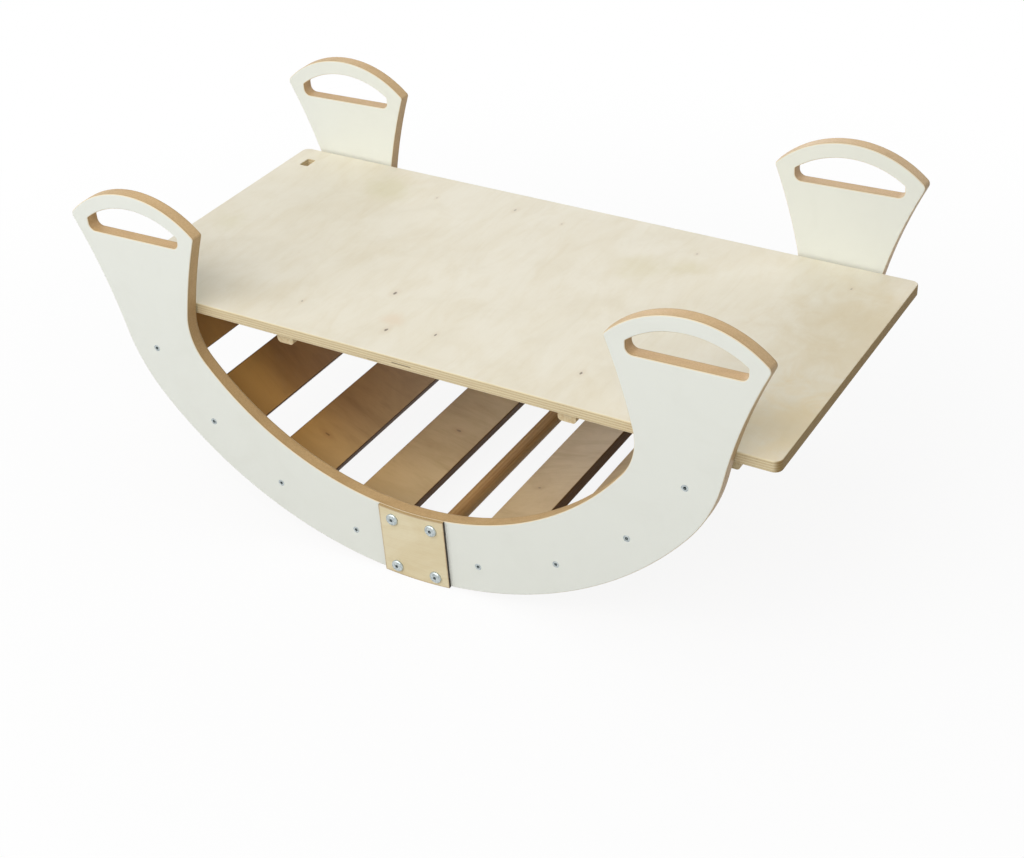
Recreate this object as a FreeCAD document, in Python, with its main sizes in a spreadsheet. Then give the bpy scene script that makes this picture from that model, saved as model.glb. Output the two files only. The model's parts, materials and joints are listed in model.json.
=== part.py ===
import FreeCAD, Part
import math
import os
import Sketcher

# Balance rocker: two curved side frames, each bolted together from two halves,
# joined by slats and a dowel, with a loose board laid across the slats.
# Millimetres. +X runs along the rocker, +Y from front to back, +Z up. The origin
# is on the floor under the middle of the rocking edge.

SIZES = [
    ("panel_thickness", 18.0, "board of the side frames"),
    ("rocker_radius", 486.0, "outer arc of the side frames, on the floor"),
    ("rail_depth", 100.0, "height of the side frame at its middle joint"),
    ("arc_offset", 10.0, "centre of the inner arc below that of the outer arc"),
    ("outer_blend_radius", 220.0, "from the outer arc into the neck"),
    ("outer_flare_radius", 680.0, "outer side of the neck"),
    ("outer_flare_drop", 348.0, "top of the handle to that arc's centre"),
    ("inner_blend_radius", 80.0, "from the inner arc into the neck"),
    ("inner_flare_radius", 780.0, "inner side of the neck"),
    ("inner_flare_drop", 309.0, "top of the handle to that arc's centre"),
    ("handle_width", 196.5, "handle head from corner to corner"),
    ("handle_height", 464.0, "floor to the top of the handle"),
    ("handle_rise", 41.0, "top arc of the handle above its corners"),
    ("handle_corner_inset", 5.6, "outer corner of the handle inside the outer arc's circle"),
    ("handle_outer_rounding", 8.0, "outer corner of the handle head"),
    ("handle_inner_rounding", 4.0, "inner corner of the handle head"),
    ("grip_bar_depth", 19.5, "wood above the grip slot"),
    ("grip_end_wall", 26.75, "corner of the handle to the end of the grip slot"),
    ("grip_end_height", 16.5, "grip slot at its ends"),
    ("grip_lower_rounding", 9.0, "lower corners of the grip slot"),
    ("grip_upper_rounding", 3.5, "upper corners of the grip slot"),
    ("panel_edge_rounding", 1.5, "eased edges of the side frames"),
    ("slat_length", 446.0, "distance between the side frames"),
    ("slat_width", 76.0, "slat"),
    ("slat_thickness", 15.0, "slat"),
    ("slat_edge_rounding", 2.0, "eased long edges of a slat"),
    ("slat_setback", 62.0, "inner arc of the frame to a slat's middle"),
    ("slat_first_angle", 12.0, "first slat from the middle, about the arc's centre"),
    ("slat_pitch_angle", 15.6, "from slat to slat"),
    ("slat_screw_diameter", 5.0, "shank"),
    ("slat_screw_head", 9.0, "head diameter"),
    ("slat_screw_bite", 42.0, "part of the screw in the slat"),
    ("slat_screw_socket", 4.0, "hex socket across flats"),
    ("pin_diameter", 8.0, "wooden pin in a slat end"),
    ("pin_slat_depth", 18.0, "part of the pin in the slat"),
    ("pin_panel_depth", 12.0, "part of the pin in the side frame"),
    ("pin_offset", 24.0, "slat screw to pin"),
    ("pin_chamfer", 1.0, "pin ends"),
    ("dowel_diameter", 22.0, "dowel across the middle joint"),
    ("dowel_height", 34.0, "floor to the dowel's axis"),
    ("plate_width", 95.0, "connector plate"),
    ("plate_thickness", 4.0, "connector plate"),
    ("bolt_spacing", 57.0, "connector bolts along the rocker"),
    ("bolt_edge_distance", 14.0, "connector bolts to the frame's lower and upper edge"),
    ("bolt_diameter", 6.0, "shank"),
    ("bolt_head_diameter", 16.5, "head"),
    ("bolt_head_height", 3.2, "head"),
    ("bolt_head_rounding", 2.4, "rim of the head"),
    ("bolt_tip_setback", 2.0, "bolt tip to the frame's inner face"),
    ("bolt_socket", 4.0, "hex socket across flats"),
    ("nut_head_diameter", 15.0, "sleeve nut"),
    ("nut_head_thickness", 1.6, "sleeve nut"),
    ("nut_barrel_diameter", 9.0, "sleeve nut"),
    ("nut_barrel_length", 12.0, "sleeve nut"),
    ("nut_socket_depth", 1.2, "hex socket in the nut's head"),
    ("socket_depth", 2.2, "hex sockets of bolts and screws"),
    ("screw_tip_length", 5.0, "tapered tip of a screw"),
    ("board_thickness", 15.0, "board"),
    ("board_side_gap", 3.5, "board to side frame"),
    ("board_end_margin", 64.0, "board end to the middle of the end batten"),
    ("board_corner_rounding", 10.0, "corners in plan"),
    ("board_edge_rounding", 1.5, "eased edges of the board"),
    ("slot_width", 14.0, "board slot along the board"),
    ("slot_length", 22.0, "board slot across the board"),
    ("slot_end_margin", 32.0, "board end to the middle of the slot"),
    ("slot_side_margin", 41.0, "board side to the middle of the slot"),
    ("slot_corner_rounding", 2.5, "board slot"),
    ("batten_width", 24.0, "batten"),
    ("batten_height", 20.0, "batten"),
    ("batten_edge_rounding", 5.0, "lower edges of a batten"),
    ("batten_end_inset", 15.0, "board side to the batten's end"),
    ("batten_bearing", 6.0, "middle of the first batten past the slat's edge"),
    ("batten_hook_gap", 0.7, "last slat to the batten hooked behind it"),
    ("batten_pitch", 204.0, "end batten to the next one"),
    ("batten_screw_diameter", 4.0, "shank"),
    ("batten_screw_head", 8.0, "head diameter"),
    ("batten_screw_bite", 11.0, "part of the screw in the board"),
    ("batten_screw_socket", 3.0, "hex socket across flats"),
    ("batten_screw_inset", 45.0, "batten end to its screw"),
    ("fit_clearance", 0.1, "all round, in holes and notches"),
    ("end_clearance", 0.5, "at the bottom of blind holes"),
    ("seat_clearance", 0.3, "under the resting board"),
]

SLATS_PER_SIDE = 4
HEX_CORNERS = 6
FRONT, BACK = "-", "+"
LEFT, RIGHT = "-", "+"
UP = FreeCAD.Vector(0, 0, 1)
ALONG_SLAT = FreeCAD.Vector(0, 1, 0)
TINY = 1e-6
NEAR = 0.01

doc = FreeCAD.newDocument("balance_rocker")
sheet = doc.addObject("Spreadsheet::Sheet", "Sizes")
for row, (alias, number, note) in enumerate(SIZES, start=1):
    sheet.set(f"A{row}", f"{alias.replace('_', ' ')} ({note})")
    sheet.set(f"B{row}", str(number))
    sheet.setAlias(f"B{row}", alias)
doc.recompute()

parts = []


def value(rule):
    """The number that a rule over the sheet's sizes gives now."""
    return float(sheet.evalExpression(rule))


# Rules shared by several pieces.
ARC_HEIGHT = "(Sizes.rocker_radius - Sizes.arc_offset)"
SEAT_RADIUS = f"({ARC_HEIGHT} - Sizes.rail_depth)"
SLAT_RADIUS = f"({SEAT_RADIUS} + Sizes.slat_setback)"
HALF_DEPTH = "(Sizes.slat_length / 2)"
CORNER_HEIGHT = "(Sizes.handle_height - Sizes.handle_rise)"
CORNER_REACH = f"sqrt({CORNER_HEIGHT} * (2 * Sizes.rocker_radius - {CORNER_HEIGHT}))"
HANDLE_HALF = "(Sizes.handle_width / 2)"
HANDLE_OFFSET = f"({CORNER_REACH} - Sizes.handle_corner_inset - {HANDLE_HALF})"
HANDLE_RADIUS = f"(({HANDLE_HALF} ^ 2 / Sizes.handle_rise + Sizes.handle_rise) / 2)"
HANDLE_CENTRE = f"(Sizes.handle_height - {HANDLE_RADIUS})"
GRIP_RADIUS = f"({HANDLE_RADIUS} - Sizes.grip_bar_depth)"
GRIP_HALF = f"({HANDLE_HALF} - Sizes.grip_end_wall)"
GRIP_END = f"({HANDLE_CENTRE} + sqrt({GRIP_RADIUS} ^ 2 - {GRIP_HALF} ^ 2))"
GRIP_FLOOR = f"({GRIP_END} - Sizes.grip_end_height)"
OUTER_FLARE_HEIGHT = "(Sizes.handle_height - Sizes.outer_flare_drop)"
INNER_FLARE_HEIGHT = "(Sizes.handle_height - Sizes.inner_flare_drop)"
SLAT_SCREW_LENGTH = "(Sizes.panel_thickness + Sizes.slat_screw_bite)"
BATTEN_SCREW_LENGTH = "(Sizes.batten_height + Sizes.batten_screw_bite)"
LAST_ANGLE = f"((Sizes.slat_first_angle + {SLATS_PER_SIDE - 1} * Sizes.slat_pitch_angle) * 1deg)"
BOARD_DEPTH = "(Sizes.slat_length - 2 * Sizes.board_side_gap)"
BATTEN_LENGTH = f"({BOARD_DEPTH} - 2 * Sizes.batten_end_inset)"
SLAT_REACH = "(Sizes.slat_width / 2 - Sizes.slat_edge_rounding)"
SLAT_CORE = "(Sizes.slat_thickness / 2 - Sizes.slat_edge_rounding)"

# The eased upper edge of the last slat, which carries the board, and its outer
# edge, behind which the last batten hooks.
EDGE_RADIUS = f"({SLAT_RADIUS} - {SLAT_CORE})"
EDGE_OUT = f"({EDGE_RADIUS} * sin({LAST_ANGLE}) + {SLAT_REACH} * cos({LAST_ANGLE}))"
EDGE_UP = f"({ARC_HEIGHT} - {EDGE_RADIUS} * cos({LAST_ANGLE}) + {SLAT_REACH} * sin({LAST_ANGLE}))"
HOOK_OUT = f"({EDGE_OUT} + 2 * {SLAT_CORE} * sin({LAST_ANGLE}))"
HOOK_DROP = f"(2 * {SLAT_CORE} * cos({LAST_ANGLE}))"

# The first batten lies on the left slat and the board itself on the right one,
# so the board leans by one batten height over the distance between the slats.
TILT = f"asin(Sizes.batten_height / (2 * {EDGE_OUT}))"
BOARD_LIFT = "(Sizes.batten_height + Sizes.slat_edge_rounding + Sizes.seat_clearance)"
FIRST_BATTEN = "(-Sizes.batten_bearing)"
LAST_BATTEN = (
    f"(({HOOK_OUT} + {EDGE_OUT}) * cos({TILT}) + {HOOK_DROP} * sin({TILT})"
    " + Sizes.slat_edge_rounding + Sizes.batten_hook_gap + Sizes.batten_width / 2)"
)
BOARD_LEFT = f"({FIRST_BATTEN} - Sizes.board_end_margin)"
BOARD_RIGHT = f"({LAST_BATTEN} + Sizes.board_end_margin)"
BATTENS = [
    FIRST_BATTEN,
    f"({FIRST_BATTEN} + Sizes.batten_pitch)",
    f"({LAST_BATTEN} - Sizes.batten_pitch)",
    LAST_BATTEN,
]
BATTEN_SCREW_OUT = f"({BATTEN_LENGTH} / 2 - Sizes.batten_screw_inset)"


def slat_angle(step, side):
    """Rule for the angle of a slat, counted outward from the middle on one side."""
    return f"({side} (Sizes.slat_first_angle + {step} * Sizes.slat_pitch_angle) * 1deg)"


def slat_point(angle, along):
    """Rules for X and height of a point in a slat's middle plane, 'along' its width."""
    across = f"({SLAT_RADIUS} * sin({angle}) + ({along}) * cos({angle}))"
    height = f"({ARC_HEIGHT} - {SLAT_RADIUS} * cos({angle}) + ({along}) * sin({angle}))"
    return across, height


def new_body(label):
    body = doc.addObject("PartDesign::Body", label)
    body.Label = label
    return body


def plane(body, role):
    return [item for item in body.Origin.OriginFeatures if item.Role == role][0]


def new_sketch(body, role, lift=None):
    """A sketch on one of the body's own planes, moved along its normal by 'lift'."""
    sketch = body.newObject("Sketcher::SketchObject", body.Name + "_sketch")
    sketch.AttachmentSupport = [(plane(body, role), "")]
    sketch.MapMode = "FlatFace"
    if lift:
        sketch.setExpression("AttachmentOffset.Base.z", lift)
    return sketch


def start(item):
    return item, 1


def end(item):
    return item, 2


def centre(item):
    return item, 3


def sketch_origin():
    return -1, 1


def axis_line(axis):
    """The sketch's own axis on which a distance along 'axis' is nought."""
    return -2 if axis == "X" else -1


def bind(sketch, constraint, rule):
    index = sketch.addConstraint(constraint)
    name = f"size_{index}"
    sketch.renameConstraint(index, name)
    sketch.setExpression(f"Constraints.{name}", rule)


def place(sketch, point, axis, rule):
    """Holds a point of the sketch at a distance from the sketch's origin."""
    distance = value(rule)
    kind = "Distance" + axis
    origin = sketch_origin()
    if abs(distance) < TINY:
        sketch.addConstraint(Sketcher.Constraint("PointOnObject", *point, axis_line(axis)))
    elif distance > 0:
        bind(sketch, Sketcher.Constraint(kind, *origin, *point, distance), rule)
    else:
        bind(sketch, Sketcher.Constraint(kind, *point, *origin, -distance), f"-({rule})")


def add_circle(sketch, across, height, diameter):
    middle = FreeCAD.Vector(value(across), value(height), 0)
    size = value(diameter)
    circle = sketch.addGeometry(Part.Circle(middle, UP, size / 2), False)
    bind(sketch, Sketcher.Constraint("Diameter", circle, size), diameter)
    place(sketch, centre(circle), "X", across)
    place(sketch, centre(circle), "Y", height)


def add_polygon(sketch, corners):
    """A closed outline of straight lines whose corners follow pairs of rules."""
    points = [FreeCAD.Vector(value(x), value(y), 0) for x, y in corners]
    lines = []
    for here, after in zip(points, points[1:] + points[:1]):
        lines.append(sketch.addGeometry(Part.LineSegment(here, after), False))
    for line, after in zip(lines, lines[1:] + lines[:1]):
        sketch.addConstraint(Sketcher.Constraint("Coincident", *end(line), *start(after)))
    for line, (x, y) in zip(lines, corners):
        place(sketch, start(line), "X", x)
        place(sketch, start(line), "Y", y)


def add_rectangle(sketch, left, right, low, high):
    add_polygon(sketch, [(left, low), (right, low), (right, high), (left, high)])


def add_hexagon(sketch, across_flats):
    corners = []
    for corner in range(HEX_CORNERS):
        turn = 360 / HEX_CORNERS * corner
        reach = f"{across_flats} / sqrt(3)"
        corners.append((f"{reach} * cos({turn} * 1deg)", f"{reach} * sin({turn} * 1deg)"))
    add_polygon(sketch, corners)


def arc_between(sketch, hub, first, last):
    """The shorter arc about a hub from one point to another."""
    radius = (first - hub).Length
    middle = (first - hub) + (last - hub)
    middle.normalize()
    return sketch.addGeometry(Part.Arc(first, hub + middle * radius, last), False)


def end_at(sketch, item, point):
    """The end of a line or arc that lies at the point."""
    ends = [start(item), end(item)]
    return min(ends, key=lambda place: (sketch.getPoint(*place) - point).Length)


def link_chain(sketch, chain, joints, tangent):
    """Closes a chain of lines and arcs; the joints named in 'tangent' run smoothly."""
    for number, joint in enumerate(joints):
        here = chain[number]
        after = chain[(number + 1) % len(chain)]
        kind = "Tangent" if number in tangent else "Coincident"
        ends = end_at(sketch, here, joint) + end_at(sketch, after, joint)
        sketch.addConstraint(Sketcher.Constraint(kind, *ends))


def set_radius(sketch, arc, rule):
    bind(sketch, Sketcher.Constraint("Radius", arc, value(rule)), rule)


def add_pad(body, sketch, length, symmetric=False):
    pad = body.newObject("PartDesign::Pad", body.Name + "_pad")
    pad.Profile = sketch
    pad.SideType = "Symmetric" if symmetric else "One side"
    pad.setExpression("Length", length)
    doc.recompute()
    return pad


def cut_check(body, before):
    doc.recompute()
    if not body.Shape.Volume < before - TINY:
        raise RuntimeError(f"a cut in {body.Label} removes nothing")


def add_pocket(body, sketch, depth=None, reverse=False):
    """A pocket of a given depth, or right through without one."""
    before = body.Shape.Volume
    pocket = body.newObject("PartDesign::Pocket", body.Name + "_pocket")
    pocket.Profile = sketch
    pocket.Reversed = reverse
    if depth is None:
        pocket.Type = "ThroughAll"
    else:
        pocket.setExpression("Length", depth)
    cut_check(body, before)
    return pocket


def add_countersunk_holes(body, sketch, screw, reverse=False):
    before = body.Shape.Volume
    hole = body.newObject("PartDesign::Hole", body.Name + "_hole")
    hole.Profile = sketch
    hole.Reversed = reverse
    doc.recompute()
    hole.DepthType = "ThroughAll"
    hole.HoleCutType = "Countersink"
    hole.setExpression("Diameter", f"Sizes.{screw}_diameter + 2 * Sizes.fit_clearance")
    hole.setExpression("HoleCutDiameter", f"Sizes.{screw}_head + 2 * Sizes.fit_clearance")
    cut_check(body, before)


def add_revolution(body, sketch):
    turned = body.newObject("PartDesign::Revolution", body.Name + "_turned")
    turned.Profile = sketch
    turned.ReferenceAxis = (sketch, ["V_Axis"])
    doc.recompute()


def add_fillet(body, wanted, radius):
    """Rounds every edge of the body for which 'wanted' is true."""
    base = body.Tip
    names = [f"Edge{n}" for n, edge in enumerate(base.Shape.Edges, start=1) if wanted(edge)]
    if not names:
        raise RuntimeError(f"no edge to round in {body.Label}")
    fillet = body.newObject("PartDesign::Fillet", body.Name + "_fillet")
    fillet.Base = (base, names)
    fillet.setExpression("Radius", radius)
    doc.recompute()


def runs_along(edge, axis):
    if not isinstance(edge.Curve, Part.Line):
        return False
    return abs(abs(edge.Curve.Direction.dot(axis)) - 1) < TINY


def stands_at(edge, points):
    """True for an edge along local Z over one of the points (X, Y)."""
    if not runs_along(edge, UP):
        return False
    foot = edge.Vertexes[0].Point
    return any(math.hypot(foot.x - x, foot.y - y) < NEAR for x, y in points)


def lies_at(edge, height):
    """True for an edge that lies flat at one local height."""
    box = edge.BoundBox
    return box.ZLength < TINY and abs(box.ZMin - height) < TINY


def side_placement(side, depth):
    """From a flat piece's own plane to a side of the rocker, 'depth' past the slats."""
    stand = FreeCAD.Rotation(FreeCAD.Vector(1, 0, 0), 90)
    turn = FreeCAD.Rotation(UP, 180 if side == BACK else 0)
    spot = FreeCAD.Vector(0, value(f"{side} ({HALF_DEPTH} + {depth})"), 0)
    return FreeCAD.Placement(spot, turn.multiply(stand))


def stand_at_side(body, side, depth):
    body.Placement = side_placement(side, depth)
    body.setExpression("Placement.Base.y", f"{side} ({HALF_DEPTH} + {depth})")


def meet(centre_1, radius_1, centre_2, radius_2, choose):
    """The point where two circles meet that 'choose' ranks highest."""
    line = centre_2 - centre_1
    gap = line.Length
    along = (radius_1**2 - radius_2**2 + gap**2) / (2 * gap)
    aside = math.sqrt(radius_1**2 - along**2)
    line.normalize()
    foot = centre_1 + line * along
    normal = FreeCAD.Vector(-line.y, line.x, 0)
    return max([foot + normal * aside, foot - normal * aside], key=choose)


def toward(origin, goal, distance):
    step = goal - origin
    step.normalize()
    return origin + step * distance


def panel_outline(sketch, side):
    """One half of a side frame: rocking edge, neck, handle head and inner edge."""
    rocker = value("Sizes.rocker_radius")
    seat = value(SEAT_RADIUS)
    blend_out = value("Sizes.outer_blend_radius")
    blend_in = value("Sizes.inner_blend_radius")
    flare_out = value("Sizes.outer_flare_radius")
    flare_in = value("Sizes.inner_flare_radius")
    half_handle = value(HANDLE_HALF)

    # Hubs and joints of the arcs, worked out for the right half.
    rocker_hub = FreeCAD.Vector(0, rocker, 0)
    seat_hub = FreeCAD.Vector(0, value(ARC_HEIGHT), 0)
    handle_hub = FreeCAD.Vector(value(HANDLE_OFFSET), value(HANDLE_CENTRE), 0)
    outer_corner = FreeCAD.Vector(handle_hub.x + half_handle, value(CORNER_HEIGHT), 0)
    inner_corner = FreeCAD.Vector(handle_hub.x - half_handle, value(CORNER_HEIGHT), 0)
    rise_out = outer_corner.y - value(OUTER_FLARE_HEIGHT)
    rise_in = inner_corner.y - value(INNER_FLARE_HEIGHT)
    reach_out = math.sqrt(flare_out**2 - rise_out**2)
    reach_in = math.sqrt(flare_in**2 - rise_in**2)
    flare_out_hub = outer_corner + FreeCAD.Vector(reach_out, -rise_out, 0)
    flare_in_hub = inner_corner + FreeCAD.Vector(-reach_in, -rise_in, 0)
    blend_out_hub = meet(
        rocker_hub, rocker - blend_out, flare_out_hub, flare_out + blend_out, lambda p: -p.y
    )
    blend_in_hub = meet(
        seat_hub, seat - blend_in, flare_in_hub, flare_in - blend_in, lambda p: p.x
    )
    hubs = [rocker_hub, blend_out_hub, flare_out_hub, handle_hub, flare_in_hub, blend_in_hub, seat_hub]
    joints = [
        toward(rocker_hub, blend_out_hub, rocker),
        toward(flare_out_hub, blend_out_hub, flare_out),
        outer_corner,
        inner_corner,
        toward(flare_in_hub, blend_in_hub, flare_in),
        toward(seat_hub, blend_in_hub, seat),
        FreeCAD.Vector(0, value("Sizes.rail_depth"), 0),
        FreeCAD.Vector(0, 0, 0),
    ]
    if side == LEFT:
        for point in hubs + joints:
            point.x = -point.x

    chain = []
    for hub, first, last in zip(hubs, joints[-1:] + joints[:-1], joints):
        chain.append(arc_between(sketch, hub, first, last))
    chain.append(sketch.addGeometry(Part.LineSegment(joints[-2], joints[-1]), False))
    link_chain(sketch, chain, joints, tangent=(0, 1, 4, 5))
    rocking, outer_blend, outer_flare, top, inner_flare, inner_blend, inner = chain[:-1]

    rocking_start = end_at(sketch, rocking, joints[-1])
    sketch.addConstraint(Sketcher.Constraint("Coincident", *rocking_start, *sketch_origin()))
    place(sketch, centre(rocking), "X", "0")
    place(sketch, centre(inner), "X", "0")
    inner_end = end_at(sketch, inner, joints[-2])
    place(sketch, inner_end, "X", "0")
    place(sketch, inner_end, "Y", "Sizes.rail_depth")
    place(sketch, centre(top), "X", f"{side} {HANDLE_OFFSET}")
    place(sketch, centre(top), "Y", HANDLE_CENTRE)
    place(sketch, end_at(sketch, top, outer_corner), "X", f"{side} ({HANDLE_OFFSET} + {HANDLE_HALF})")
    place(sketch, end_at(sketch, top, inner_corner), "X", f"{side} ({HANDLE_OFFSET} - {HANDLE_HALF})")
    place(sketch, centre(outer_flare), "Y", OUTER_FLARE_HEIGHT)
    place(sketch, centre(inner_flare), "Y", INNER_FLARE_HEIGHT)
    set_radius(sketch, rocking, "Sizes.rocker_radius")
    set_radius(sketch, outer_blend, "Sizes.outer_blend_radius")
    set_radius(sketch, outer_flare, "Sizes.outer_flare_radius")
    set_radius(sketch, top, HANDLE_RADIUS)
    set_radius(sketch, inner_flare, "Sizes.inner_flare_radius")
    set_radius(sketch, inner_blend, "Sizes.inner_blend_radius")
    set_radius(sketch, inner, SEAT_RADIUS)
    return outer_corner, inner_corner


def grip_outline(sketch, side):
    """The grip slot: straight below, arched above along the handle's top."""
    middle = f"{side} {HANDLE_OFFSET}"
    right_end = value(f"{middle} + {GRIP_HALF}")
    left_end = value(f"{middle} - {GRIP_HALF}")
    low = value(GRIP_FLOOR)
    high = value(GRIP_END)
    hub = FreeCAD.Vector(value(middle), value(HANDLE_CENTRE), 0)
    lower = [FreeCAD.Vector(left_end, low, 0), FreeCAD.Vector(right_end, low, 0)]
    upper = [FreeCAD.Vector(right_end, high, 0), FreeCAD.Vector(left_end, high, 0)]
    base = sketch.addGeometry(Part.LineSegment(*lower), False)
    right = sketch.addGeometry(Part.LineSegment(lower[1], upper[0]), False)
    arch = arc_between(sketch, hub, *upper)
    left = sketch.addGeometry(Part.LineSegment(upper[1], lower[0]), False)
    link_chain(sketch, [base, right, arch, left], [lower[1], *upper, lower[0]], tangent=())
    sketch.addConstraint(Sketcher.Constraint("Horizontal", base))
    sketch.addConstraint(Sketcher.Constraint("Vertical", right))
    sketch.addConstraint(Sketcher.Constraint("Vertical", left))
    place(sketch, start(base), "X", f"{middle} - {GRIP_HALF}")
    place(sketch, end(base), "X", f"{middle} + {GRIP_HALF}")
    place(sketch, start(base), "Y", GRIP_FLOOR)
    place(sketch, centre(arch), "X", middle)
    place(sketch, centre(arch), "Y", HANDLE_CENTRE)
    set_radius(sketch, arch, GRIP_RADIUS)
    return lower, upper


def bolt_points(side):
    across = f"{side} Sizes.bolt_spacing / 2"
    yield across, "Sizes.bolt_edge_distance"
    yield across, "(Sizes.rail_depth - Sizes.bolt_edge_distance)"


def build_panel(label, side, face):
    """A half of a side frame, flat, with its inner face on the plane Z = 0."""
    body = new_body(label)
    outline = new_sketch(body, "XY_Plane")
    outer_corner, inner_corner = panel_outline(outline, side)
    add_pad(body, outline, "Sizes.panel_thickness")
    outer_foot = [(outer_corner.x, outer_corner.y)]
    inner_foot = [(inner_corner.x, inner_corner.y)]
    add_fillet(body, lambda edge: stands_at(edge, outer_foot), "Sizes.handle_outer_rounding")
    add_fillet(body, lambda edge: stands_at(edge, inner_foot), "Sizes.handle_inner_rounding")

    grip = new_sketch(body, "XY_Plane")
    lower, upper = grip_outline(grip, side)
    add_pocket(body, grip, reverse=True)
    lower_feet = [(point.x, point.y) for point in lower]
    upper_feet = [(point.x, point.y) for point in upper]
    add_fillet(body, lambda edge: stands_at(edge, lower_feet), "Sizes.grip_lower_rounding")
    add_fillet(body, lambda edge: stands_at(edge, upper_feet), "Sizes.grip_upper_rounding")

    thickness = value("Sizes.panel_thickness")

    def on_face(edge):
        box = edge.BoundBox
        at_joint = box.XLength < TINY and abs(box.XMin) < TINY
        return not at_joint and (lies_at(edge, 0) or lies_at(edge, thickness))

    add_fillet(body, on_face, "Sizes.panel_edge_rounding")

    notch = new_sketch(body, "XY_Plane")
    add_circle(notch, "0", "Sizes.dowel_height", "Sizes.dowel_diameter + 2 * Sizes.fit_clearance")
    add_pocket(body, notch, reverse=True)

    bolts = new_sketch(body, "XY_Plane")
    barrels = new_sketch(body, "XY_Plane")
    for across, height in bolt_points(side):
        add_circle(bolts, across, height, "Sizes.bolt_diameter + 2 * Sizes.fit_clearance")
        add_circle(barrels, across, height, "Sizes.nut_barrel_diameter + 2 * Sizes.fit_clearance")
    add_pocket(body, bolts, reverse=True)
    add_pocket(body, barrels, "Sizes.nut_barrel_length + Sizes.end_clearance", reverse=True)

    screws = new_sketch(body, "XY_Plane", "Sizes.panel_thickness")
    pins = new_sketch(body, "XY_Plane")
    for step in range(SLATS_PER_SIDE):
        angle = slat_angle(step, side)
        add_circle(screws, *slat_point(angle, "0"), "Sizes.slat_screw_diameter")
        for sign in ("-", "+"):
            spot = slat_point(angle, f"{sign} Sizes.pin_offset")
            add_circle(pins, *spot, "Sizes.pin_diameter + 2 * Sizes.fit_clearance")
    add_pocket(body, pins, "Sizes.pin_panel_depth + Sizes.end_clearance", reverse=True)
    add_countersunk_holes(body, screws, "slat_screw")
    stand_at_side(body, face, "0")
    parts.append(body)


def build_plate(label, face):
    """Connector plate over the joint, its lower and upper edges along the frame's."""
    body = new_body(label)
    outline = new_sketch(body, "XY_Plane")
    half = value("Sizes.plate_width / 2")
    rocker = value("Sizes.rocker_radius")
    seat = value(SEAT_RADIUS)
    low_hub = FreeCAD.Vector(0, rocker, 0)
    high_hub = FreeCAD.Vector(0, value(ARC_HEIGHT), 0)
    low = low_hub.y - math.sqrt(rocker**2 - half**2)
    high = high_hub.y - math.sqrt(seat**2 - half**2)
    joints = [
        FreeCAD.Vector(half, low, 0),
        FreeCAD.Vector(half, high, 0),
        FreeCAD.Vector(-half, high, 0),
        FreeCAD.Vector(-half, low, 0),
    ]
    lower = arc_between(outline, low_hub, joints[3], joints[0])
    right = outline.addGeometry(Part.LineSegment(joints[0], joints[1]), False)
    upper = arc_between(outline, high_hub, joints[1], joints[2])
    left = outline.addGeometry(Part.LineSegment(joints[2], joints[3]), False)
    link_chain(outline, [lower, right, upper, left], joints, tangent=())
    place(outline, start(right), "X", "Sizes.plate_width / 2")
    place(outline, end(left), "X", "-Sizes.plate_width / 2")
    outline.addConstraint(Sketcher.Constraint("Vertical", right))
    outline.addConstraint(Sketcher.Constraint("Vertical", left))
    place(outline, centre(lower), "X", "0")
    place(outline, centre(lower), "Y", "Sizes.rocker_radius")
    place(outline, centre(upper), "X", "0")
    place(outline, centre(upper), "Y", ARC_HEIGHT)
    set_radius(outline, lower, "Sizes.rocker_radius")
    set_radius(outline, upper, SEAT_RADIUS)
    add_pad(body, outline, "Sizes.plate_thickness")
    bolts = new_sketch(body, "XY_Plane")
    for side in (LEFT, RIGHT):
        for across, height in bolt_points(side):
            add_circle(bolts, across, height, "Sizes.bolt_diameter + 2 * Sizes.fit_clearance")
    add_pocket(body, bolts, reverse=True)
    stand_at_side(body, face, "Sizes.panel_thickness")
    parts.append(body)


def build_slat(label, angle):
    """A flat slat with screw and pin holes in both ends."""
    body = new_body(label)
    outline = new_sketch(body, "XY_Plane")
    half_width = "Sizes.slat_width / 2"
    add_rectangle(outline, f"-{half_width}", half_width, f"-{HALF_DEPTH}", HALF_DEPTH)
    add_pad(body, outline, "Sizes.slat_thickness", symmetric=True)
    add_fillet(body, lambda edge: runs_along(edge, ALONG_SLAT), "Sizes.slat_edge_rounding")

    screw = new_sketch(body, "XZ_Plane", HALF_DEPTH)
    add_circle(screw, "0", "0", "Sizes.slat_screw_diameter + 2 * Sizes.fit_clearance")
    screw_hole = add_pocket(body, screw, "Sizes.slat_screw_bite + Sizes.end_clearance")
    pins = new_sketch(body, "XZ_Plane", HALF_DEPTH)
    for sign in ("-", "+"):
        spot = f"{sign} Sizes.pin_offset"
        add_circle(pins, spot, "0", "Sizes.pin_diameter + 2 * Sizes.fit_clearance")
    pin_holes = add_pocket(body, pins, "Sizes.pin_slat_depth + Sizes.end_clearance")
    other_end = body.newObject("PartDesign::Mirrored", label + "_other_end")
    other_end.Originals = [screw_hole, pin_holes]
    other_end.MirrorPlane = (plane(body, "XZ_Plane"), [""])
    body.Tip = other_end
    doc.recompute()

    across, height = slat_point(angle, "0")
    spot = FreeCAD.Vector(value(across), 0, value(height))
    lean = FreeCAD.Rotation(ALONG_SLAT, -value(angle))
    body.Placement = FreeCAD.Placement(spot, lean)
    body.setExpression("Placement.Base.x", across)
    body.setExpression("Placement.Base.z", height)
    parts.append(body)


def build_dowel(label):
    body = new_body(label)
    section = new_sketch(body, "XZ_Plane")
    add_circle(section, "0", "0", "Sizes.dowel_diameter")
    add_pad(body, section, "Sizes.slat_length + 2 * Sizes.panel_thickness", symmetric=True)
    body.setExpression("Placement.Base.z", "Sizes.dowel_height")
    parts.append(body)


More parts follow.
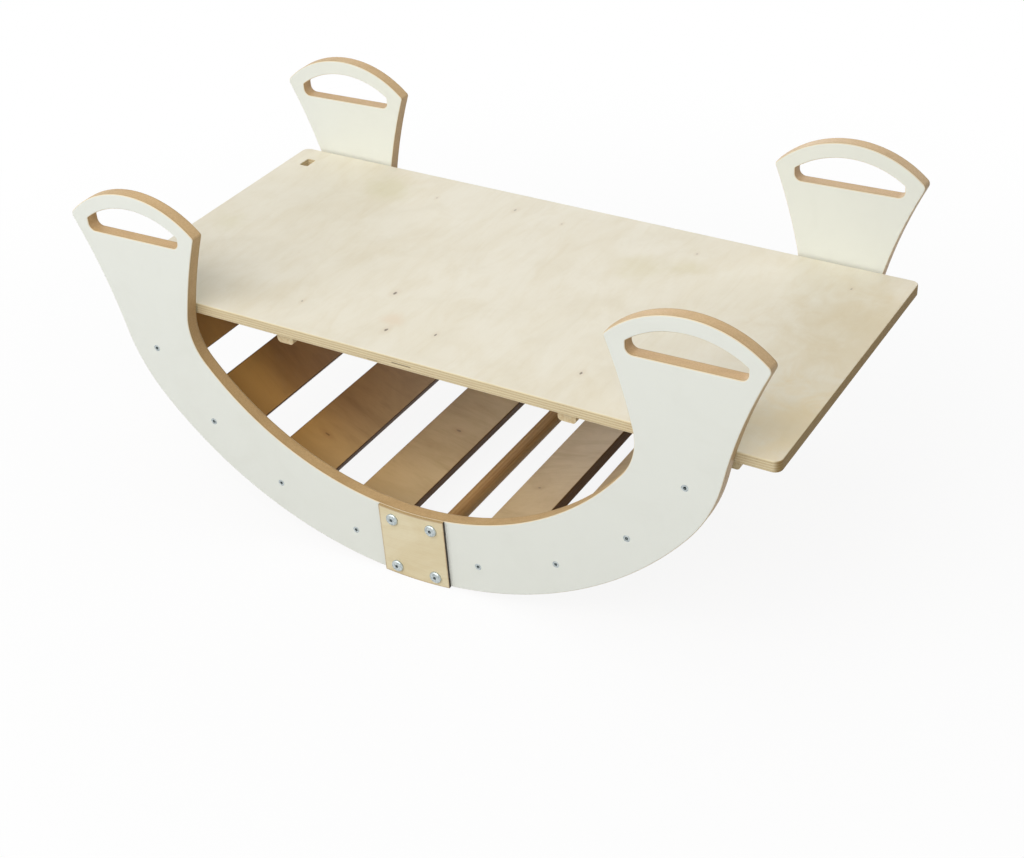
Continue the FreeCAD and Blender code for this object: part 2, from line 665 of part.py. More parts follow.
def board_placement():
    """Board's own frame: on its underside, over the left slat's edge, along the board."""
    spot = FreeCAD.Vector(
        value(f"{BOARD_LIFT} * sin({TILT}) - {EDGE_OUT}"),
        0,
        value(f"{BOARD_LIFT} * cos({TILT}) + {EDGE_UP}"),
    )
    return FreeCAD.Placement(spot, FreeCAD.Rotation(ALONG_SLAT, value(TILT)))


def build_board(label):
    body = new_body(label)
    outline = new_sketch(body, "XY_Plane")
    half = f"{BOARD_DEPTH} / 2"
    add_rectangle(outline, BOARD_LEFT, BOARD_RIGHT, f"-{half}", half)
    add_pad(body, outline, "Sizes.board_thickness")
    add_fillet(body, lambda edge: runs_along(edge, UP), "Sizes.board_corner_rounding")
    thickness = value("Sizes.board_thickness")

    def on_face(edge):
        return lies_at(edge, 0) or lies_at(edge, thickness)

    add_fillet(body, on_face, "Sizes.board_edge_rounding")

    slots = new_sketch(body, "XY_Plane")
    slot_left = f"({BOARD_LEFT} + Sizes.slot_end_margin - Sizes.slot_width / 2)"
    slot_right = f"({slot_left} + Sizes.slot_width)"
    for sign in ("-", "+"):
        middle = f"{sign} ({half} - Sizes.slot_side_margin)"
        low = f"({middle} - Sizes.slot_length / 2)"
        add_rectangle(slots, slot_left, slot_right, low, f"({low} + Sizes.slot_length)")
    add_pocket(body, slots, reverse=True)
    ends = (value(slot_left), value(slot_right))

    def in_slot(edge):
        foot = edge.Vertexes[0].Point
        return runs_along(edge, UP) and min(abs(foot.x - end) for end in ends) < NEAR

    add_fillet(body, in_slot, "Sizes.slot_corner_rounding")

    pilots = new_sketch(body, "XY_Plane")
    for across in BATTENS:
        for sign in ("-", "+"):
            spot = f"{sign} {BATTEN_SCREW_OUT}"
            add_circle(pilots, across, spot, "Sizes.batten_screw_diameter + 2 * Sizes.fit_clearance")
    add_pocket(body, pilots, "Sizes.batten_screw_bite + Sizes.end_clearance", reverse=True)
    body.Placement = board_placement()
    body.setExpression("Placement.Base.x", f"{BOARD_LIFT} * sin({TILT}) - {EDGE_OUT}")
    body.setExpression("Placement.Base.z", f"{BOARD_LIFT} * cos({TILT}) + {EDGE_UP}")
    parts.append(body)


def build_batten(label, across):
    """A batten under the board, its lower edges rounded, screwed on from below."""
    body = new_body(label)
    section = new_sketch(body, "XZ_Plane")
    half = "Sizes.batten_width / 2"
    add_rectangle(section, f"-{half}", half, "-Sizes.batten_height", "0")
    add_pad(body, section, BATTEN_LENGTH, symmetric=True)
    bottom = -value("Sizes.batten_height")
    add_fillet(
        body,
        lambda edge: runs_along(edge, ALONG_SLAT) and lies_at(edge, bottom),
        "Sizes.batten_edge_rounding",
    )
    screws = new_sketch(body, "XY_Plane", "-Sizes.batten_height")
    for sign in ("-", "+"):
        add_circle(screws, "0", f"{sign} {BATTEN_SCREW_OUT}", "Sizes.batten_screw_diameter")
    add_countersunk_holes(body, screws, "batten_screw", reverse=True)
    shift = FreeCAD.Placement(FreeCAD.Vector(value(across), 0, 0), FreeCAD.Rotation())
    body.Placement = board_placement().multiply(shift)
    parts.append(body)


def build_bolt(label):
    """Connector bolt, head on the plane Z = 0 and shank below it."""
    body = new_body(label)
    profile = new_sketch(body, "XZ_Plane")
    shank = "Sizes.bolt_diameter / 2"
    head = "Sizes.bolt_head_diameter / 2"
    tip = "-(Sizes.plate_thickness + Sizes.panel_thickness - Sizes.bolt_tip_setback)"
    top = "Sizes.bolt_head_height"
    add_polygon(profile, [("0", tip), (shank, tip), (shank, "0"), (head, "0"), (head, top), ("0", top)])
    add_revolution(body, profile)
    height = value(top)
    add_fillet(body, lambda edge: lies_at(edge, height), "Sizes.bolt_head_rounding")
    socket = new_sketch(body, "XY_Plane", top)
    add_hexagon(socket, "Sizes.bolt_socket")
    add_pocket(body, socket, "Sizes.socket_depth")
    return body


def build_nut(label):
    """Sleeve nut, head below the plane Z = 0 and barrel above it."""
    body = new_body(label)
    profile = new_sketch(body, "XZ_Plane")
    head = "Sizes.nut_head_diameter / 2"
    barrel = "Sizes.nut_barrel_diameter / 2"
    bore = "Sizes.bolt_diameter / 2 + Sizes.fit_clearance"
    base = "-Sizes.nut_head_thickness"
    floor = "Sizes.bolt_tip_setback - Sizes.end_clearance"
    rim = "Sizes.nut_barrel_length"
    outline = [("0", base), (head, base), (head, "0"), (barrel, "0"), (barrel, rim), (bore, rim)]
    outline += [(bore, floor), ("0", floor)]
    add_polygon(profile, outline)
    add_revolution(body, profile)
    socket = new_sketch(body, "XY_Plane", base)
    add_hexagon(socket, "Sizes.bolt_socket")
    add_pocket(body, socket, "Sizes.nut_socket_depth", reverse=True)
    return body


def build_screw(label, kind, length):
    """Countersunk screw, the top of its head on the plane Z = 0."""
    body = new_body(label)
    profile = new_sketch(body, "XZ_Plane")
    shank = f"Sizes.{kind}_diameter / 2"
    head = f"Sizes.{kind}_head / 2"
    cone = f"-({head} - {shank})"
    tip = f"-{length}"
    taper = f"{tip} + Sizes.screw_tip_length"
    add_polygon(profile, [("0", tip), (shank, taper), (shank, cone), (head, "0"), ("0", "0")])
    add_revolution(body, profile)
    socket = new_sketch(body, "XY_Plane")
    add_hexagon(socket, f"Sizes.{kind}_socket")
    add_pocket(body, socket, "Sizes.socket_depth")
    return body


def build_pin(label):
    """Wooden pin, its frame end on the plane Z = 0 and the rest below it."""
    body = new_body(label)
    profile = new_sketch(body, "XZ_Plane")
    full = "Sizes.pin_diameter / 2"
    narrow = f"{full} - Sizes.pin_chamfer"
    tip = "-(Sizes.pin_panel_depth + Sizes.pin_slat_depth)"
    outline = [("0", tip), (narrow, tip), (full, f"{tip} + Sizes.pin_chamfer")]
    outline += [(full, "-Sizes.pin_chamfer"), (narrow, "0"), ("0", "0")]
    add_polygon(profile, outline)
    add_revolution(body, profile)
    return body


def build_group(label, pattern, placements):
    """A group of separate, identical fasteners at the given places."""
    copies = []
    for number, placement in enumerate(placements, start=1):
        copy = doc.addObject("App::Link", f"{label}_{number}")
        copy.LinkedObject = pattern
        copy.Placement = placement
        copies.append(copy)
    group = doc.addObject("Part::Compound", label)
    group.Label = label
    group.Links = copies
    parts.append(group)


def spots_at_side(face, points, depth):
    """Places of fasteners on a side, from points of its flat plane at one depth."""
    stand = side_placement(face, "0")
    for across, height in points:
        spot = FreeCAD.Vector(value(across), value(height), value(depth))
        yield stand.multiply(FreeCAD.Placement(spot, FreeCAD.Rotation()))


def slat_angles():
    """All slats from left to right."""
    for step in reversed(range(SLATS_PER_SIDE)):
        yield slat_angle(step, LEFT)
    for step in range(SLATS_PER_SIDE):
        yield slat_angle(step, RIGHT)


build_panel("panel_front_left", LEFT, FRONT)
build_panel("panel_front_right", RIGHT, FRONT)
build_panel("panel_back_left", RIGHT, BACK)
build_panel("panel_back_right", LEFT, BACK)
build_plate("connector_plate_front", FRONT)
build_plate("connector_plate_back", BACK)
build_dowel("centre_dowel")
for number, angle in enumerate(slat_angles(), start=1):
    build_slat(f"slat_{number}", angle)
build_board("board")
for number, across in enumerate(BATTENS, start=1):
    build_batten(f"batten_{number}", across)

bolt = build_bolt("bolt_pattern")
nut = build_nut("nut_pattern")
slat_screw = build_screw("slat_screw_pattern", "slat_screw", SLAT_SCREW_LENGTH)
batten_screw = build_screw("batten_screw_pattern", "batten_screw", BATTEN_SCREW_LENGTH)
pin = build_pin("pin_pattern")
bolt_spots = [point for side in (LEFT, RIGHT) for point in bolt_points(side)]
screw_spots = [slat_point(angle, "0") for angle in slat_angles()]
pin_spots = []
for angle in slat_angles():
    for sign in ("-", "+"):
        pin_spots.append(slat_point(angle, f"{sign} Sizes.pin_offset"))
for name, face in (("front", FRONT), ("back", BACK)):
    outside = "Sizes.panel_thickness"
    on_plate = "Sizes.panel_thickness + Sizes.plate_thickness"
    build_group(f"connector_bolts_{name}", bolt, spots_at_side(face, bolt_spots, on_plate))
    build_group(f"connector_nuts_{name}", nut, spots_at_side(face, bolt_spots, "0"))
    build_group(f"slat_screws_{name}", slat_screw, spots_at_side(face, screw_spots, outside))
    build_group(f"slat_pins_{name}", pin, spots_at_side(face, pin_spots, "Sizes.pin_panel_depth"))

flip = FreeCAD.Rotation(FreeCAD.Vector(1, 0, 0), 180)
batten_screw_spots = []
for across in BATTENS:
    for side in (FRONT, BACK):
        aside = value(f"{side} {BATTEN_SCREW_OUT}")
        spot = FreeCAD.Vector(value(across), aside, -value("Sizes.batten_height"))
        batten_screw_spots.append(board_placement().multiply(FreeCAD.Placement(spot, flip)))
build_group("batten_screws", batten_screw, batten_screw_spots)
doc.recompute()

for item in doc.Objects:
    if "Invalid" in item.State or "Error" in item.State:
        raise RuntimeError(f"{item.Label} did not build: {item.State}")

os.makedirs("parts", exist_ok=True)
for item in parts:
    if item.Shape.isNull() or not item.Shape.isValid():
        raise RuntimeError(f"{item.Label} has no valid shape")
    item.Shape.exportStep(f"parts/{item.Label}.step")
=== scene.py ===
import json
import math

import bpy
from mathutils import Euler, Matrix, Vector

# Balance rocker with its board laid across as a table. Lengths are in metres, the floor is
# at Z = 0, X runs along the rocker and Y from the front side frame to the back one.

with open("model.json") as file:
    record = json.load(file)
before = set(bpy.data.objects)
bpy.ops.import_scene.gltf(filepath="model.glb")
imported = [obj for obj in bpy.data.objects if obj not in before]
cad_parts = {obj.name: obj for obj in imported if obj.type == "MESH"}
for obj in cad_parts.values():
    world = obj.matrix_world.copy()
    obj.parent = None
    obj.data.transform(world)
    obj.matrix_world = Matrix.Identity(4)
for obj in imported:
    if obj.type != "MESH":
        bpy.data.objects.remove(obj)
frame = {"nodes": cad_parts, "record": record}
nodes = frame["nodes"]
mounts = {mount["name"]: mount for mount in frame["record"]["mounts"]}
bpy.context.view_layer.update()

MILLIMETRE = 0.001

# Side frames: middle and half of their thickness, radius of the rocking edge, radius of the
# inner edge and height of the middle of its arc.
FRAME_MIDDLE = 0.232
PANEL_HALF = 0.009
ROCKER_RADIUS = 0.486
SEAT_RADIUS = 0.376
ARC_HEIGHT = 0.476

# Slats: radius of the arc through their middles, angle of the first one from straight down
# and angle from one to the next.
SLAT_COUNT = 8
SLAT_RADIUS = 0.438
SLAT_FIRST = math.radians(12.0)
SLAT_PITCH = math.radians(15.6)
SLAT_THICKNESS = 0.015

# Board and its battens.
BOARD_THICKNESS = 0.015
BOARD_HALF = 0.4676
BATTEN_COUNT = 4
PLY_COUNT = 9

# Connector plates: half width and outer face. Bolts: from the middle of their plate.
PLATE_HALF = 0.0475
PLATE_FACE = 0.245
BOLT_ASIDE = 0.0285
BOLT_RISE = 0.036
BOLT_LEVEL = 0.050

# Stretch of the veneer through a sheet, so that its two faces differ, and from one
# connector plate to the other.
FACES_APART = 30.0
PLATES_APART = 3.0

# Depth under a face at which its outer veneer, or its film, gives way to the cut edge.
VENEER_SKIN = (0.15 * MILLIMETRE, 0.45 * MILLIMETRE)
THIN_SKIN = (0.05 * MILLIMETRE, 0.20 * MILLIMETRE)

# Sockets of a colour Mix node, whose names its sockets for numbers have too.
MIX_SHARE = 0
MIX_UNDER = 6
MIX_OVER = 7
MIX_COLOUR = 2


def tint(red, green, blue):
    """A finish as seen on a colour card, in 0 to 255, turned into a shader's own values."""
    card = [value / 255 for value in (red, green, blue)]
    return [v / 12.92 if v <= 0.04045 else ((v + 0.055) / 1.055) ** 2.4 for v in card] + [1.0]


def feed(tree, socket, value):
    """Joins the socket with another one, or sets it to a plain value."""
    if isinstance(value, bpy.types.NodeSocket):
        tree.links.new(value, socket)
    else:
        socket.default_value = value


def add(tree, kind, inputs=None, **settings):
    """A node whose inputs are set to, or joined with, the given values."""
    node = tree.nodes.new(kind)
    for name, value in settings.items():
        setattr(node, name, value)
    for name, value in (inputs or {}).items():
        feed(tree, node.inputs[name], value)
    return node


def calc(tree, operation, *values):
    """A number worked out from others."""
    node = add(tree, "ShaderNodeMath", dict(enumerate(values)), operation=operation)
    return node.outputs[0]


def apart(tree, value, middle):
    """How far a value lies from a middle one, on either side."""
    return calc(tree, "ABSOLUTE", calc(tree, "SUBTRACT", value, middle))


def slant(tree, one, other):
    """The long side over two that stand square to each other."""
    return calc(tree, "SQRT", calc(tree, "MULTIPLY_ADD", one, one, calc(tree, "MULTIPLY", other, other)))


def between(tree, share, low, high):
    """A number that goes from low to high with the share."""
    return calc(tree, "MULTIPLY_ADD", share, calc(tree, "SUBTRACT", high, low), low)


def vector(tree, x, y, z):
    return add(tree, "ShaderNodeCombineXYZ", {0: x, 1: y, 2: z}).outputs[0]


def split(tree, place):
    return add(tree, "ShaderNodeSeparateXYZ", {0: place}).outputs


def move(tree, operation, *values):
    """A place worked out from others."""
    node = add(tree, "ShaderNodeVectorMath", dict(enumerate(values)), operation=operation)
    return node.outputs["Vector"]


def far(tree, operation, *values):
    """A length worked out from places."""
    node = add(tree, "ShaderNodeVectorMath", dict(enumerate(values)), operation=operation)
    return node.outputs["Value"]


def ramp(tree, value, low, high, at_low=0.0, at_high=1.0):
    """A soft step of the value between two limits."""
    limits = {"Value": value, "From Min": low, "From Max": high, "To Min": at_low, "To Max": at_high}
    return add(tree, "ShaderNodeMapRange", limits, interpolation_type="SMOOTHSTEP").outputs[0]


def blend(tree, share, under, over, manner="MIX"):
    """One colour over another, as far as the share goes."""
    sockets = {MIX_SHARE: share, MIX_UNDER: under, MIX_OVER: over}
    node = add(tree, "ShaderNodeMix", sockets, data_type="RGBA", blend_type=manner)
    return node.outputs[MIX_COLOUR]


def mottle(tree, place, stretch, detail=2.0, roughness=0.5, distortion=0.0):
    """Noise with its own number of specks per metre along each axis."""
    looks = {
        "Vector": move(tree, "MULTIPLY", place, stretch),
        "Scale": 1.0,
        "Detail": detail,
        "Roughness": roughness,
        "Distortion": distortion,
    }
    return add(tree, "ShaderNodeTexNoise", looks).outputs[0]


def shifted(tree, place, seed, stride):
    """The place moved on by a piece's own seed, so that each piece gets its own figure."""
    return move(tree, "ADD", place, move(tree, "MULTIPLY", vector(tree, seed, seed, seed), stride))


def new_effect(name, inputs, outputs):
    """A node group; returns its tree, its inputs by name and its output node."""
    kinds = {"float": "NodeSocketFloat", "vector": "NodeSocketVector", "colour": "NodeSocketColor"}
    group = bpy.data.node_groups.new(name, "ShaderNodeTree")
    for label, kind in inputs.items():
        group.interface.new_socket(name=label, in_out="INPUT", socket_type=kinds[kind])
    for label, kind in outputs.items():
        group.interface.new_socket(name=label, in_out="OUTPUT", socket_type=kinds[kind])
    given = group.nodes.new("NodeGroupInput").outputs
    made = group.nodes.new("NodeGroupOutput")
    return group, given, made


def use(tree, effect, inputs):
    """Places a node group and returns its outputs by name."""
    return add(tree, "ShaderNodeGroup", inputs, node_tree=effect).outputs


def veneer_effect():
    """Peeled birch: cloudy figure, fine fibre and short flecks along X."""
    inputs = {"Place": "vector", "Seed": "float", "Figure": "float", "Pale": "colour", "Deep": "colour"}
    group, given, made = new_effect("Birch veneer", inputs, {"Colour": "colour", "Fibre": "float"})
    place = shifted(group, given["Place"], given["Seed"], (0.37, 1.31, 1.0))
    clouds = mottle(group, place, (9.0, 14.0, 9.0), detail=5.0, roughness=0.58, distortion=0.9)
    clouds = ramp(group, clouds, 0.34, 0.70)
    curls = mottle(group, place, (7.0, 30.0, 9.0), detail=4.0, roughness=0.62, distortion=2.2)
    curls = ramp(group, curls, 0.42, 0.74)
    fibre = mottle(group, place, (22.0, 620.0, 60.0), detail=3.0, roughness=0.6)
    flecks = ramp(group, mottle(group, place, (150.0, 1300.0, 60.0), detail=1.0), 0.63, 0.75)
    deep = calc(group, "MULTIPLY_ADD", clouds, 0.50, calc(group, "MULTIPLY", curls, 0.34))
    deep = calc(group, "MULTIPLY_ADD", ramp(group, fibre, 0.35, 0.75), 0.12, deep)
    deep = calc(group, "MULTIPLY_ADD", flecks, 0.16, deep)
    deep = calc(group, "MULTIPLY", deep, given["Figure"])
    feed(group, made.inputs["Colour"], blend(group, deep, given["Pale"], given["Deep"]))
    feed(group, made.inputs["Fibre"], calc(group, "ADD", fibre, calc(group, "MULTIPLY", flecks, -0.5)))
    return group


def ply_effect():
    """Cut edge of plywood: layers across 'Through' with thin glue lines between them."""
    inputs = {"Place": "vector", "Through": "float", "Ply": "float", "Long": "colour", "Cross": "colour"}
    group, given, made = new_effect("Ply edge", inputs, {"Colour": "colour", "Relief": "float"})
    wave = calc(group, "SUBTRACT", mottle(group, given["Place"], (7.0, 7.0, 0.0)), 0.5)
    through = calc(group, "MULTIPLY_ADD", wave, 0.5 * MILLIMETRE, given["Through"])
    count = calc(group, "DIVIDE", through, given["Ply"])
    cross = calc(group, "MODULO", calc(group, "FLOOR", count), 2.0)
    glue = ramp(group, apart(group, calc(group, "FRACT", count), 0.5), 0.36, 0.49)
    pores = mottle(group, given["Place"], (900.0, 900.0, 1400.0), roughness=0.6)
    streak = mottle(group, given["Place"], (22.0, 22.0, 700.0), detail=3.0, roughness=0.6)
    open_grain = calc(group, "MULTIPLY", cross, 0.28)
    open_grain = calc(group, "MULTIPLY", ramp(group, pores, 0.50, 0.72), open_grain)
    tone = blend(group, cross, given["Long"], given["Cross"])
    tone = blend(group, ramp(group, streak, 0.35, 0.8, 0.0, 0.22), tone, tint(150, 118, 76))
    tone = blend(group, open_grain, tone, tint(120, 90, 54))
    tone = blend(group, calc(group, "MULTIPLY", glue, 0.32), tone, tint(128, 98, 58))
    feed(group, made.inputs["Colour"], tone)
    feed(group, made.inputs["Relief"], calc(group, "MULTIPLY_ADD", glue, -0.6, pores))
    return group


def timber_effect():
    """Planed solid wood with growth lines along X."""
    inputs = {"Place": "vector", "Seed": "float", "Pale": "colour", "Deep": "colour"}
    group, given, made = new_effect("Planed timber", inputs, {"Colour": "colour", "Fibre": "float"})
    place = shifted(group, given["Place"], given["Seed"], (1.0, 0.13, 0.29))
    lines = mottle(group, place, (2.2, 260.0, 260.0), detail=3.0, roughness=0.55, distortion=0.4)
    broad = mottle(group, place, (3.0, 45.0, 45.0))
    pores = mottle(group, place, (90.0, 1500.0, 1500.0), detail=1.0)
    deep = calc(group, "MULTIPLY", broad, 0.35)
    deep = calc(group, "MULTIPLY_ADD", ramp(group, lines, 0.40, 0.68), 0.55, deep)
    deep = calc(group, "MULTIPLY_ADD", ramp(group, pores, 0.60, 0.75), 0.25, deep)
    feed(group, made.inputs["Colour"], blend(group, deep, given["Pale"], given["Deep"]))
    feed(group, made.inputs["Fibre"], calc(group, "ADD", lines, pores))
    return group


def knot_effect():
    """A small knot lying along X: a dark core and a soft stain round it."""
    inputs = {"Place": "vector", "Centre": "vector", "Reach": "float"}
    group, given, made = new_effect("Pin knot", inputs, {"Core": "float", "Stain": "float"})
    away = move(group, "SUBTRACT", given["Place"], given["Centre"])
    oval = move(group, "MULTIPLY", away, (0.55, 1.0, 0.0))
    share = calc(group, "DIVIDE", far(group, "LENGTH", oval), given["Reach"])
    ragged = mottle(group, given["Place"], (260.0, 420.0, 0.0))
    share = calc(group, "ADD", share, calc(group, "MULTIPLY_ADD", ragged, 1.2, -0.6))
    feed(group, made.inputs["Core"], ramp(group, share, 0.4, 1.1, 1.0, 0.0))
    feed(group, made.inputs["Stain"], ramp(group, share, 0.8, 4.2, 1.0, 0.0))
    return group


def handling_effect():
    """Faint smudges and rubbed spots left by hands and feet."""
    outputs = {"Smudge": "float", "Rub": "float"}
    group, given, made = new_effect("Handling marks", {"Place": "vector"}, outputs)
    smudge = mottle(group, given["Place"], (13.0, 13.0, 13.0), detail=5.0, roughness=0.62, distortion=0.8)
    rub = mottle(group, given["Place"], (60.0, 60.0, 60.0), detail=4.0, roughness=0.7)
    feed(group, made.inputs["Smudge"], ramp(group, smudge, 0.42, 0.78))
    feed(group, made.inputs["Rub"], ramp(group, rub, 0.40, 0.75))
    return group


def arc_effect():
    """A place on the arc of slats, seen from its slat.

    Gives the distance across the slat, the depth from its middle and a number that
    differs from slat to slat.
    """
    outputs = {"Across": "float", "Depth": "float", "Number": "float"}
    group, given, made = new_effect("Place on the slat arc", {"Place": "vector"}, outputs)
    axes = split(group, given["Place"])
    drop = calc(group, "SUBTRACT", ARC_HEIGHT, axes["Z"])
    angle = calc(group, "ARCTAN2", axes["X"], drop)
    reach = slant(group, axes["X"], drop)
    past_first = calc(group, "SUBTRACT", calc(group, "ABSOLUTE", angle), SLAT_FIRST)
    steps = calc(group, "DIVIDE", past_first, SLAT_PITCH)
    nearest = calc(group, "ROUND", steps)
    off = calc(group, "MULTIPLY", calc(group, "SUBTRACT", steps, nearest), SLAT_PITCH)
    across = calc(group, "MULTIPLY", reach, calc(group, "SINE", off))
    outward = calc(group, "MULTIPLY", reach, calc(group, "COSINE", off))
    side_step = 4.7
    number = calc(group, "MULTIPLY_ADD", calc(group, "SIGN", angle), side_step, nearest)
    feed(group, made.inputs["Across"], across)
    feed(group, made.inputs["Depth"], calc(group, "SUBTRACT", outward, SLAT_RADIUS))
    feed(group, made.inputs["Number"], number)
    return group


def zinc_effect():
    """Zinc plating with a faint blue cast and dull spots."""
    outputs = {"Colour": "colour", "Roughness": "float", "Spots": "float"}
    group, given, made = new_effect("Zinc plating", {"Place": "vector"}, outputs)
    spots = mottle(group, given["Place"], (420.0, 420.0, 420.0), detail=4.0, roughness=0.6)
    tone = blend(group, ramp(group, spots, 0.35, 0.7), tint(204, 212, 212), tint(160, 170, 171))
    feed(group, made.inputs["Colour"], tone)
    feed(group, made.inputs["Roughness"], calc(group, "MULTIPLY_ADD", spots, 0.22, 0.24))
    feed(group, made.inputs["Spots"], spots)
    return group


VENEER = veneer_effect()
PLY_EDGE = ply_effect()
TIMBER = timber_effect()
PIN_KNOT = knot_effect()
HANDLING = handling_effect()
SLAT_ARC = arc_effect()
ZINC = zinc_effect()


def new_finish(name):
    """A material; returns it, its tree, its shader and the place on the piece."""
    finish = bpy.data.materials.new(name)
    finish.use_nodes = True
    tree = finish.node_tree
    shader = tree.nodes["Principled BSDF"]
    place = add(tree, "ShaderNodeTexCoord").outputs["Object"]
    return finish, tree, shader, place


def lay_on(tree, shader, tone, rough, height, depth):
    """Joins a finish's colour, roughness and relief, as deep as given, to its shader."""
    bump = add(tree, "ShaderNodeBump", {"Height": height, "Strength": 1.0, "Distance": depth})
    feed(tree, shader.inputs["Base Color"], tone)
    feed(tree, shader.inputs["Roughness"], rough)
    feed(tree, shader.inputs["Normal"], bump.outputs[0])


def white_film():
    """Side frames: smooth white film on both faces, bare brown fibreboard edges."""
    finish, tree, shader, place = new_finish("White film on fibreboard")
    aside = calc(tree, "ABSOLUTE", split(tree, place)["Y"])
    inset = calc(tree, "SUBTRACT", PANEL_HALF, apart(tree, aside, FRAME_MIDDLE))
    film = ramp(tree, inset, *THIN_SKIN, 1.0, 0.0)
    # Lighter lip at the film's border: partly raw fibre, partly painted highlight of the rounded edge.
    lip = ramp(tree, inset, 0.6 * MILLIMETRE, 1.3 * MILLIMETRE, 1.0, 0.0)
    dense = ramp(tree, inset, 3.0 * MILLIMETRE, 1.4 * MILLIMETRE, 0.0, 0.45)
    marks = use(tree, HANDLING, {"Place": place})
    fibres = mottle(tree, place, (520.0, 520.0, 520.0), detail=4.0, roughness=0.7)
    patches = mottle(tree, place, (40.0, 90.0, 40.0), detail=3.0)
    peel = mottle(tree, place, (700.0, 700.0, 700.0), detail=1.0)

    core = blend(tree, ramp(tree, fibres, 0.3, 0.75, 0.0, 0.7), tint(212, 180, 131), tint(187, 151, 102))
    core = blend(tree, ramp(tree, patches, 0.4, 0.8, 0.0, 0.35), core, tint(173, 138, 90))
    core = blend(tree, dense, core, tint(154, 119, 71))
    core = blend(tree, lip, core, tint(236, 222, 190))
    smudged = calc(tree, "MULTIPLY", marks["Smudge"], 0.30)
    face = blend(tree, smudged, tint(238, 240, 231), tint(229, 230, 219))

    satin = calc(tree, "MULTIPLY_ADD", marks["Rub"], 0.10, 0.34)
    dull = calc(tree, "MULTIPLY_ADD", fibres, 0.12, 0.40)
    bare = calc(tree, "SUBTRACT", 1.0, film)
    height = calc(tree, "MULTIPLY", fibres, calc(tree, "MULTIPLY", bare, 0.6))
    height = calc(tree, "MULTIPLY_ADD", peel, 0.02, height)
    tone = blend(tree, film, core, face)
    rough = between(tree, film, dull, satin)
    lay_on(tree, shader, tone, rough, height, depth=0.25 * MILLIMETRE)
    return finish


def board_place(tree, place):
    """The place in the board's own frame: middle of the board, up from its underside."""
    top = Vector(mounts["board_top"]["pos_m"])
    up = Vector(mounts["board_top"]["axis"]).normalized()
    turn = Euler((0.0, -math.atan2(up.x, up.z), 0.0))
    shift = -(turn.to_matrix() @ (top - up * BOARD_THICKNESS))
    return add(tree, "ShaderNodeMapping", {"Vector": place, "Location": shift, "Rotation": turn}).outputs[0]


# Small knots of the board's top veneer: along the board, across it, size in mm and darkness.
BOARD_KNOTS = [
    (-204, -157, 1.3, 0.6),
    (-109, -89, 2.4, 0.8),
    (-69, -170, 2.2, 0.8),
    (-8, -154, 1.6, 0.8),
    (-204, 161, 1.3, 0.3),
    (-87, 175, 2.0, 0.4),
    (-10, 166, 1.2, 0.3),
    (191, -153, 1.9, 0.8),
    (398, 166, 1.5, 0.4),
    (188, 167, 1.3, 0.3),
]

# Stains of the same veneer and patches at its right end: along the board, across it, size in mm, strength
# and colour.
BOARD_STAINS_AND_SHADE = [
    (-277, 157, 62, 0.30, (206, 200, 150)),
    (-75, -146, 26, 0.30, (226, 196, 160)),
    (141, 106, 58, 0.28, (208, 196, 142)),
    (196, 128, 34, 0.28, (208, 196, 142)),
    (-420, -20, 46, 0.25, (212, 204, 158)),
    # A darker, yellower patch over the board's right end.
    (480, 60, 250, 0.46, (212, 190, 142)),
    # A warm, darker patch at the right-front corner, partly painted shadow of the front-right handle.
    (455, -150, 150, 0.45, (232, 204, 140)),
]

# Open spots in the layers of the board's front edge, painted dark as the shade inside them:
# along it, up from the underside, half length in mm and darkness.
OPEN_LAYERS = [
    (-57, 2.8, 9, 0.45),
    (-16, 6.8, 15, 0.85),
]


def stained_and_shaded(tree, tone, local):
    """The board's face with its stains and its patches at the right end, one partly painted shade."""
    spread = mottle(tree, local, (24.0, 24.0, 24.0), detail=4.0, roughness=0.6, distortion=0.8)
    for along, across, size, strength, colour in BOARD_STAINS_AND_SHADE:
        centre = (along * MILLIMETRE, across * MILLIMETRE, BOARD_THICKNESS)
        share = calc(tree, "DIVIDE", far(tree, "DISTANCE", local, centre), size * MILLIMETRE)
        share = calc(tree, "ADD", share, spread)
        tone = blend(tree, ramp(tree, share, 0.55, 1.35, strength, 0.0), tone, tint(*colour))
    return tone


def opened(tree, cut, x, y, z):
    """The board's edge with the open spots of its front, painted dark as the shade inside them."""
    front = calc(tree, "LESS_THAN", y, 0.0)
    for along, rise, half, dark in OPEN_LAYERS:
        beside = apart(tree, x, along * MILLIMETRE)
        off_layer = apart(tree, z, rise * MILLIMETRE)
        void_shade = ramp(tree, beside, (half - 3) * MILLIMETRE, half * MILLIMETRE, dark, 0.0)
        thin = ramp(tree, off_layer, 0.3 * MILLIMETRE, 0.8 * MILLIMETRE, 1.0, 0.0)
        void_shade = calc(tree, "MULTIPLY", calc(tree, "MULTIPLY", void_shade, thin), front)
        # Painted shade inside the open spot.
        cut = blend(tree, void_shade, cut, tint(70, 52, 30))
    return cut


